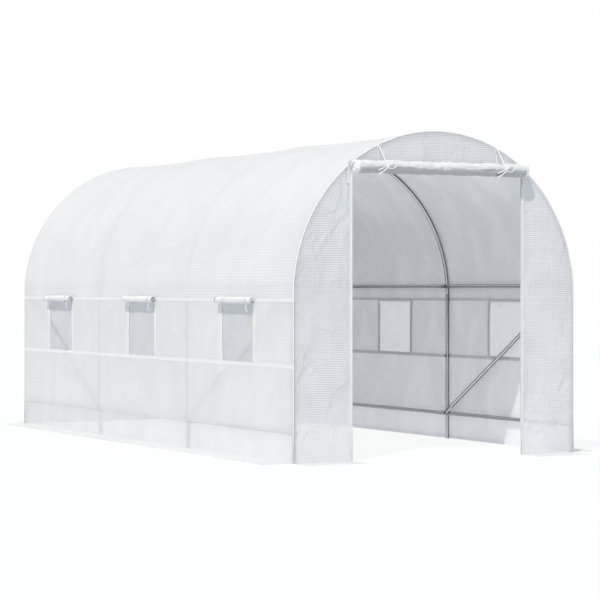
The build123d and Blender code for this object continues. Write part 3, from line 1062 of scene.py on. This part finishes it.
TURN_STEPS = 30
ROLL_STEP = 0.012
SEWN_IN = 0.0012
HEM, HEM_STEP = 0.024, 0.006
HEM_SHARES = [0.0, 0.3, 0.6, 0.85, 1.0]
CAP_SHARES = [0.0, 0.25, 0.45, 0.62, 0.78, 0.9]
CAP_STEPS = 28
ROLL_RIM = 0.04


def hem_tape(shape, point, centre, along, length, spans):
    """The tape of a rolled sheet's two edges, on its last turn and over the ends of the roll."""

    def raised(u, v):
        place = point(u, v)
        axis = centre + along * (place - centre).dot(along)
        return place + (place - axis).normalized() * TAPE_OUT

    turn = spans[-TURN_STEPS - 1 :]
    for low, high in ((0.0, HEM), (length - HEM, length)):
        shape.grid(spread(low, high, HEM_STEP), turn, raised)
    for edge in (0.0, length):
        middle = centre + along * ((edge - length / 2) * 1.001)
        shape.grid(turn, HEM_SHARES, lambda v, share: middle.lerp(raised(edge, v), share))


def rolled(
    shape, centre, along, towards, radius, core, turns, length, tail, seed, crumple,
    hollow=0.0, pinches=(), hems=None,
):
    """A sheet wound on itself from its core out, with its last wrap rising to where it is sewn on.

    The roll lies along one direction, with the wall towards another. The ends get hems where a shape
    for them is given, and otherwise caps, which lie hollow by that much.
    """
    along = Vector(along)
    towards = Vector(towards)
    up = Vector((0, 0, 1))
    steps = int(turns * TURN_STEPS)
    radii = [core + (radius - core) * step / steps for step in range(steps + 1)]
    spans = [0.0]
    for step in range(1, steps + 1):
        spans.append(spans[-1] + (radii[step] + radii[step - 1]) / 2 * turns * 2 * math.pi / steps)

    def point(u, v):
        s = u - length / 2
        if v > spans[-1]:
            return centre + along * s + towards * (radius - SEWN_IN) + up * (v - spans[-1])
        step = max(i for i in range(steps + 1) if spans[i] <= v + 1e-9)
        angle = -(turns * 2 * math.pi) * (1 - step / steps)
        r = radii[step]
        out = r / radius
        side, high = math.cos(angle) * radius, math.sin(angle) * radius

        # Crumples, then a lip along the front, the ties' pinches and the rim that narrows at each end
        dent = 0.5 * waves(s * 0.8, side * 2.0, seed, size=0.11)
        dent += 0.5 * waves(s + high * 1.5, high * 2.2, seed + 3, size=0.035)
        r = min(r + crumple * out * dent, radius * 1.01)
        around = angle % (2 * math.pi)
        lip = math.pi * 1.03 + 0.30 * waves(s, 1.0, seed + 9, size=0.16)
        fold = math.exp(-(((around - lip) / 0.20) ** 2))
        r -= radius * 0.2 * out**4 * fold * (0.75 + 0.5 * waves(s, 2.0, seed + 11, size=0.09))
        for pinch in pinches:
            r *= 1 - 0.11 * math.exp(-(((s - pinch) / 0.018) ** 2))
        rim = max(0.0, (abs(s) - length / 2 + ROLL_RIM) / ROLL_RIM)
        r *= 1 - 0.3 * rim * rim * (0.7 + 0.6 * waves(side * 9, high * 9, seed + 5, size=0.5))
        end = -0.012 * abs(waves(side * 12, high * 12, seed + 13, size=0.6)) * (2 * s / length)
        flat = min(r * math.cos(angle), radius - SEWN_IN)
        slump = 0.0016 * waves(s, 0.0, seed + 7, size=0.22)
        return centre + along * (s + end) + towards * flat + up * (r * math.sin(angle) + slump)

    total = spans[-1] + tail
    shape.grid(spread(0, length, ROLL_STEP), spans + [spans[-1] + tail / 2, total], point)
    if hems:
        hem_tape(hems, point, centre, along, length, spans)
        return total
    for end in (-1, 1):
        hub = centre + along * end * (length / 2 - hollow)

        def cap(a, r):
            bulge = 0.003 * waves(math.cos(a) * r, math.sin(a) * r, seed + 17, size=0.02)
            bulge -= 0.016 * (r / radius) ** 6
            return hub + along * end * bulge + towards * r * math.cos(a) + up * r * math.sin(a)

        angles = [2 * math.pi * index / CAP_STEPS for index in range(CAP_STEPS + 1)]
        shape.grid(angles, [radius * share for share in CAP_SHARES], cap)
    return total


STRAP_STEPS, STRAP_HANG_STEPS = 18, 5
STRAP_START, STRAP_SWEEP = 55, 205
STRAP_ACROSS = [-0.007, 0.0, 0.007]


def strap(shape, centre, along, towards, radius, hang):
    """A narrow strap round a roll, from the wall over the top, with an end that hangs below."""
    along = Vector(along)
    towards = Vector(towards)
    path = []
    for step in range(STRAP_STEPS + 1):
        angle = math.radians(STRAP_START + STRAP_SWEEP * step / STRAP_STEPS)
        path.append((radius * math.cos(angle), radius * math.sin(angle)))
    low_flat, low_high = path[-1]
    for step in range(1, STRAP_HANG_STEPS + 1):
        path.append((low_flat - 0.004 * math.sin(step * 0.9), low_high - hang * step / STRAP_HANG_STEPS))

    def point(i, v):
        flat, high = path[i]
        return Vector(centre) + along * (v + 0.002 * math.sin(i * 0.4)) + towards * flat + Vector((0, 0, high))

    shape.grid(range(len(path)), STRAP_ACROSS, point)


# Rolled flaps of the windows, each with a strap that hangs long and one that hangs short
WINDOW_ROLL_X = 1.0245
STRAP_RADIUS = 0.0236
STRAP_PLACES = ((-0.19, 0.05), (0.13, 0.022))

for sign, side in SIDES:
    rolls = Shape()
    for index, middle in enumerate(WINDOW_YS):
        sheet_length = rolled(
            rolls,
            Vector((sign * WINDOW_ROLL_X, middle, UPPER_SEAM)),
            along=(0, 1, 0),
            towards=(-sign, 0, 0),
            radius=0.0225,
            core=0.005,
            turns=5,
            length=WINDOW_ROLL,
            tail=0.0115,
            seed=61.0 + index * 2.7 + sign,
            crumple=0.0022,
            hollow=0.0075,
        )
    piece = rolls.make(f"{side}_rolled_flaps", roll_cloth, "rolled_sheet", f"{side}_window_rolls")
    straps = Shape()
    for middle in WINDOW_YS:
        for offset, hang in STRAP_PLACES:
            place = (sign * WINDOW_ROLL_X, middle + offset, UPPER_SEAM)
            strap(straps, place, (0, 1, 0), (-sign, 0, 0), STRAP_RADIUS, hang)
    strap_piece = straps.make(f"{side}_roll_straps", tape, "white_tape")

door = Shape()
hems = Shape()
sheet_length = rolled(
    door,
    ROLL_AXIS,
    along=(1, 0, 0),
    towards=(0, 1, 0),
    radius=0.0425,
    core=0.006,
    turns=11,
    length=DOOR_SHEET,
    tail=0.014,
    seed=83.0,
    crumple=0.013,
    pinches=(-TIE_X, TIE_X),
    hems=hems,
)
hem_piece = hems.make("door_hem_tapes", tape, "white_tape")
piece = door.make("rolled_door", door_cloth, "rolled_sheet", "door_roll")

# Floor, sky and lights: what is seen of floor and sky is white, while sheets and ground are lit by a blue sky

WHITE = (1.0, 1.0, 1.0)
FLOOR_HALF = 60
FLOOR_DROP = 0.0006
FLOOR_GLOW = 0.9
SUN_TRAVEL = (0.47, 0.40, -0.787)


def seen_rays(tree):
    """1 for the rays that show floor and sky as they are, 0 for those that carry their light."""
    path = put(tree, "ShaderNodeLightPath")
    seen = calc(tree, "MAXIMUM", path.outputs["Is Camera Ray"], path.outputs["Is Glossy Ray"])
    return calc(tree, "MAXIMUM", seen, path.outputs["Is Transmission Ray"])


floor_material, tree = new_material("studio_floor")
seen = calc(tree, "MULTIPLY", seen_rays(tree), FLOOR_GLOW)
paper = put(tree, "ShaderNodeBsdfDiffuse", Color=(0.80, 0.835, 0.87))
plain = put(tree, "ShaderNodeEmission", Color=WHITE, Strength=1.0)
surface(tree, blend(tree, seen, paper, plain))
floor_mesh = bpy.data.meshes.new("floor")
corners = [(x * FLOOR_HALF, y * FLOOR_HALF, 0) for x, y in ((-1, -1), (1, -1), (1, 1), (-1, 1))]
floor_mesh.from_pydata(corners, [], [(0, 1, 2, 3)])
floor_mesh.materials.append(floor_material)
floor = link(bpy.data.objects.new("floor", floor_mesh))
floor.location.z = -FLOOR_DROP

world = bpy.data.worlds.new("studio")
world.use_nodes = True
scene.world = world
tree = world.node_tree
tree.nodes.clear()
backdrop = put(tree, "ShaderNodeBackground", Color=WHITE, Strength=1.0)
sky = put(tree, "ShaderNodeBackground", Color=(0.90, 0.94, 1.0), Strength=0.54)
put(tree, "ShaderNodeOutputWorld", Surface=blend(tree, seen_rays(tree), sky, backdrop))

sun_data = bpy.data.lights.new("key", "SUN")
sun_data.energy = 2.6
sun_data.angle = math.radians(1.2)
sun_data.color = (1.0, 0.965, 0.9)
sun = link(bpy.data.objects.new("key", sun_data))
sun.rotation_euler = Vector(SUN_TRAVEL).to_track_quat("-Z", "Y").to_euler()

scene.view_settings.view_transform = "Standard"
